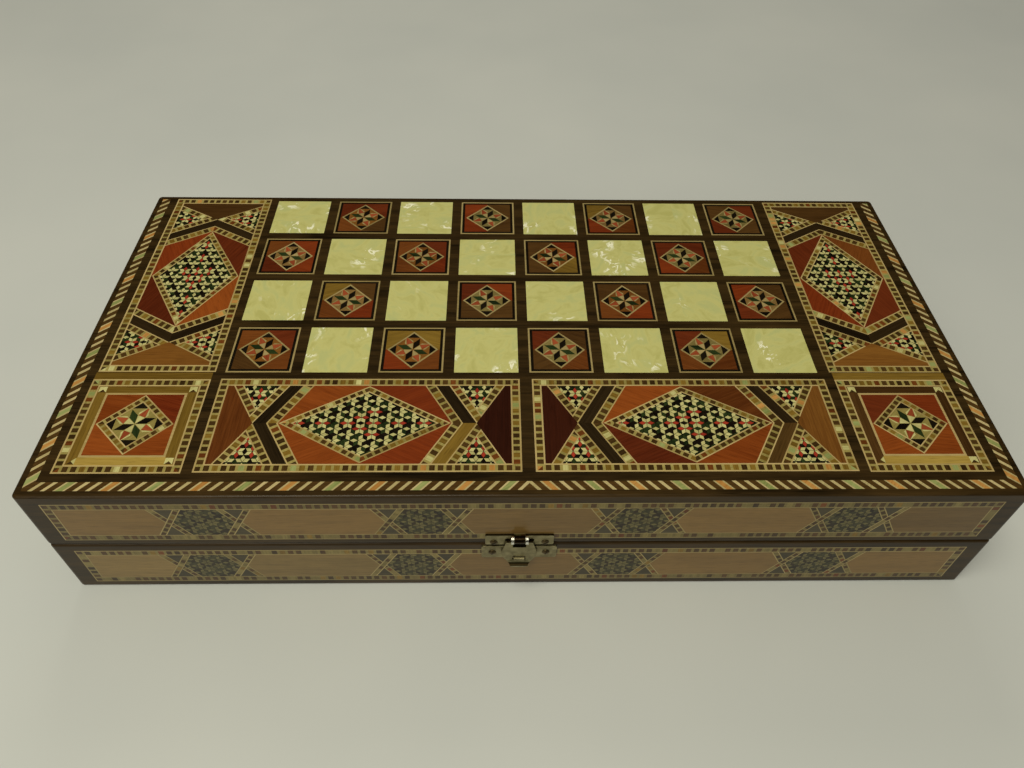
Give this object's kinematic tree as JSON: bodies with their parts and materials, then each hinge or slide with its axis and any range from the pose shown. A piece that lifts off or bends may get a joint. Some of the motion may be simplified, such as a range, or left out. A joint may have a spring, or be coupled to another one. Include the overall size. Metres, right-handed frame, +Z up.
{
  "type": "backgammon case",
  "caption": "Folding inlaid wooden backgammon and chess case: two hinged trays with a hasp latch, playing fields inside, checkers and dice stored in it.",
  "frame": {"origin": "centre of the underside of the closed case", "axes": "+X along the hinges, +Y from the latch to the hinges, +Z up through the lid"},
  "size_m": [0.48, 0.2474, 0.084],
  "materials": {
    "case_wood": "dark lacquered hardwood, glossy",
    "field_wood": "mid brown veneer, satin lacquer",
    "marquetry": "mosaic of stained woods and bone under gloss lacquer",
    "pearl": "mother of pearl under gloss lacquer",
    "light_point_wood": "pale veneer, satin lacquer",
    "dark_point_wood": "dark red veneer, satin lacquer",
    "hinge_metal": "brass, slightly dull",
    "latch_metal": "nickel plate, semi gloss",
    "light_checker": "turned pale wood, satin lacquer",
    "dark_checker": "turned dark wood, satin lacquer",
    "dice_bone": "polished bone-coloured resin"
  },
  "bodies": {
    "base": {"base_front_rail": "case_wood", "base_back_rail": "case_wood", "base_left_rail": "case_wood", "base_right_rail": "case_wood", "base_board": "case_wood", "base_playing_field": "field_wood", "base_front_band": "marquetry", "base_back_band": "marquetry", "base_left_band": "marquetry", "base_right_band": "marquetry", "base_rope_banding": "marquetry", "base_pearl_squares": "pearl", "base_mosaic_squares": "marquetry", "base_front_panels": "marquetry", "base_side_panels": "marquetry", "base_corner_panels": "marquetry", "base_light_points": "light_point_wood", "base_dark_points": "dark_point_wood", "base_field_medallion": "marquetry", "base_field_border": "marquetry", "left_hinge_base_leaf": "hinge_metal", "left_hinge_pin": "hinge_metal", "right_hinge_base_leaf": "hinge_metal", "right_hinge_pin": "hinge_metal", "base_hinge_screws": "hinge_metal", "latch_keeper_plate": "latch_metal", "latch_base_screws": "latch_metal"},
    "lid": {"lid_front_rail": "case_wood", "lid_back_rail": "case_wood", "lid_left_rail": "case_wood", "lid_right_rail": "case_wood", "lid_board": "case_wood", "lid_playing_field": "field_wood", "lid_front_band": "marquetry", "lid_back_band": "marquetry", "lid_left_band": "marquetry", "lid_right_band": "marquetry", "lid_rope_banding": "marquetry", "lid_pearl_squares": "pearl", "lid_mosaic_squares": "marquetry", "lid_front_panels": "marquetry", "lid_side_panels": "marquetry", "lid_corner_panels": "marquetry", "lid_light_points": "light_point_wood", "lid_dark_points": "dark_point_wood", "lid_field_medallion": "marquetry", "lid_field_border": "marquetry", "left_hinge_lid_leaf": "hinge_metal", "right_hinge_lid_leaf": "hinge_metal", "lid_hinge_screws": "hinge_metal", "latch_lid_plate": "latch_metal", "latch_pin": "latch_metal", "latch_lid_screws": "latch_metal"},
    "latch": {"latch_tongue": "latch_metal"},
    "light_checkers": {"light_checkers": "light_checker"},
    "dark_checkers": {"dark_checkers": "dark_checker"},
    "dice": {"dice": "dice_bone"}
  },
  "joints": [
    {"name": "lid_hinge", "type": "hinge", "parent": "base", "child": "lid", "pos_m": [0, 0.12015, 0.042], "axis": [-1, 0, 0], "range_deg": [0, 180]},
    {"name": "latch_swing", "type": "hinge", "parent": "lid", "child": "latch", "pos_m": [-0.004, -0.1227, 0.0496], "axis": [-1, 0, 0], "range_deg": [0, 150]},
    {"name": "light_checkers_lift", "type": "slide", "parent": "base", "child": "light_checkers", "axis": [0, 0, 1], "range_m": [0, 0.038]},
    {"name": "dark_checkers_lift", "type": "slide", "parent": "base", "child": "dark_checkers", "axis": [0, 0, 1], "range_m": [0, 0.038]},
    {"name": "dice_lift", "type": "slide", "parent": "base", "child": "dice", "axis": [0, 0, 1], "range_m": [0, 0.038]}
  ]
}
